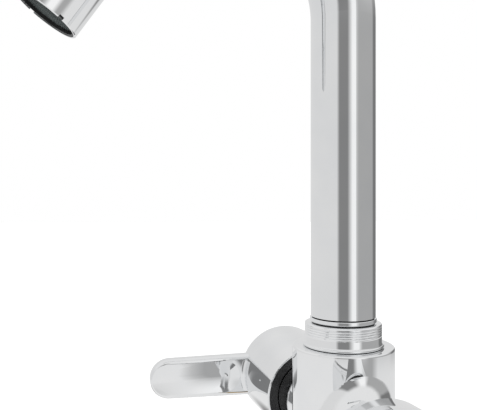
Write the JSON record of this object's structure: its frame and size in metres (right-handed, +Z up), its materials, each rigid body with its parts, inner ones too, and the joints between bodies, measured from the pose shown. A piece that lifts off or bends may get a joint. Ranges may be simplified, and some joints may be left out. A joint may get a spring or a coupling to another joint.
{
  "type": "pre rinse faucet",
  "caption": "Deck-mounted two-handle kitchen mixer faucet with a tall rigid swivel gooseneck spout, threaded spout collar and slotted aerator.",
  "frame": {"origin": "centre of the mixer's base on the deck surface", "axes": "+Z up out of the deck; the spout and both levers point to -Y at rest; hot valve at -X, cold at +X"},
  "size_m": [0.1832, 0.1633, 0.333],
  "materials": {
    "chrome": "polished chrome plate on brass",
    "brass": "turned brass",
    "steel": "stainless steel",
    "black_plastic": "moulded black",
    "mesh": "dark grey mesh",
    "rubber": "moulded rubber",
    "ceramic": "lapped alumina ceramic",
    "fibre": "vulcanised fibre",
    "hot_index": "gloss red",
    "cold_index": "gloss blue"
  },
  "bodies": {
    "mixer": {"body": "chrome", "base_flange": "chrome", "base_gasket": "rubber", "shank": "brass", "deck_washer": "rubber", "backing_washer": "steel", "lock_nut": "brass", "spout_collar": "chrome", "spout_glide_bush": "black_plastic", "hot_seat_seal": "rubber", "hot_fixed_disc": "ceramic", "hot_headwork": "brass", "hot_headwork_washer": "fibre", "cold_seat_seal": "rubber", "cold_fixed_disc": "ceramic", "cold_headwork": "brass", "cold_headwork_washer": "fibre"},
    "spout": {"spout_tail": "chrome", "spout_seals": "rubber", "spout_clip": "steel", "spout_tube": "chrome", "nozzle_bush": "brass", "aerator_shell": "chrome", "aerator_insert": "black_plastic", "aerator_mesh": "mesh", "aerator_washer": "rubber"},
    "hot_valve": {"hot_moving_disc": "ceramic", "hot_spindle": "brass", "hot_spindle_seals": "rubber", "hot_spindle_clip": "steel", "hot_lever_handle": "chrome", "hot_skirt_ring": "black_plastic", "hot_handle_screw": "steel", "hot_index_cap": "hot_index"},
    "cold_valve": {"cold_moving_disc": "ceramic", "cold_spindle": "brass", "cold_spindle_seals": "rubber", "cold_spindle_clip": "steel", "cold_lever_handle": "chrome", "cold_skirt_ring": "black_plastic", "cold_handle_screw": "steel", "cold_index_cap": "cold_index"}
  },
  "joints": [
    {"name": "spout_swivel", "type": "hinge", "parent": "mixer", "child": "spout", "pos_m": [0, 0, 0.08195], "axis": [0, 0, 1], "continuous": true},
    {"name": "hot_lever_turn", "type": "hinge", "parent": "mixer", "child": "hot_valve", "pos_m": [-0.05, 0, 0.0377], "axis": [-1, 0, 0], "range_deg": [0, 90]},
    {"name": "cold_lever_turn", "type": "hinge", "parent": "mixer", "child": "cold_valve", "pos_m": [0.05, 0, 0.0377], "axis": [-1, 0, 0], "range_deg": [0, 90]}
  ]
}
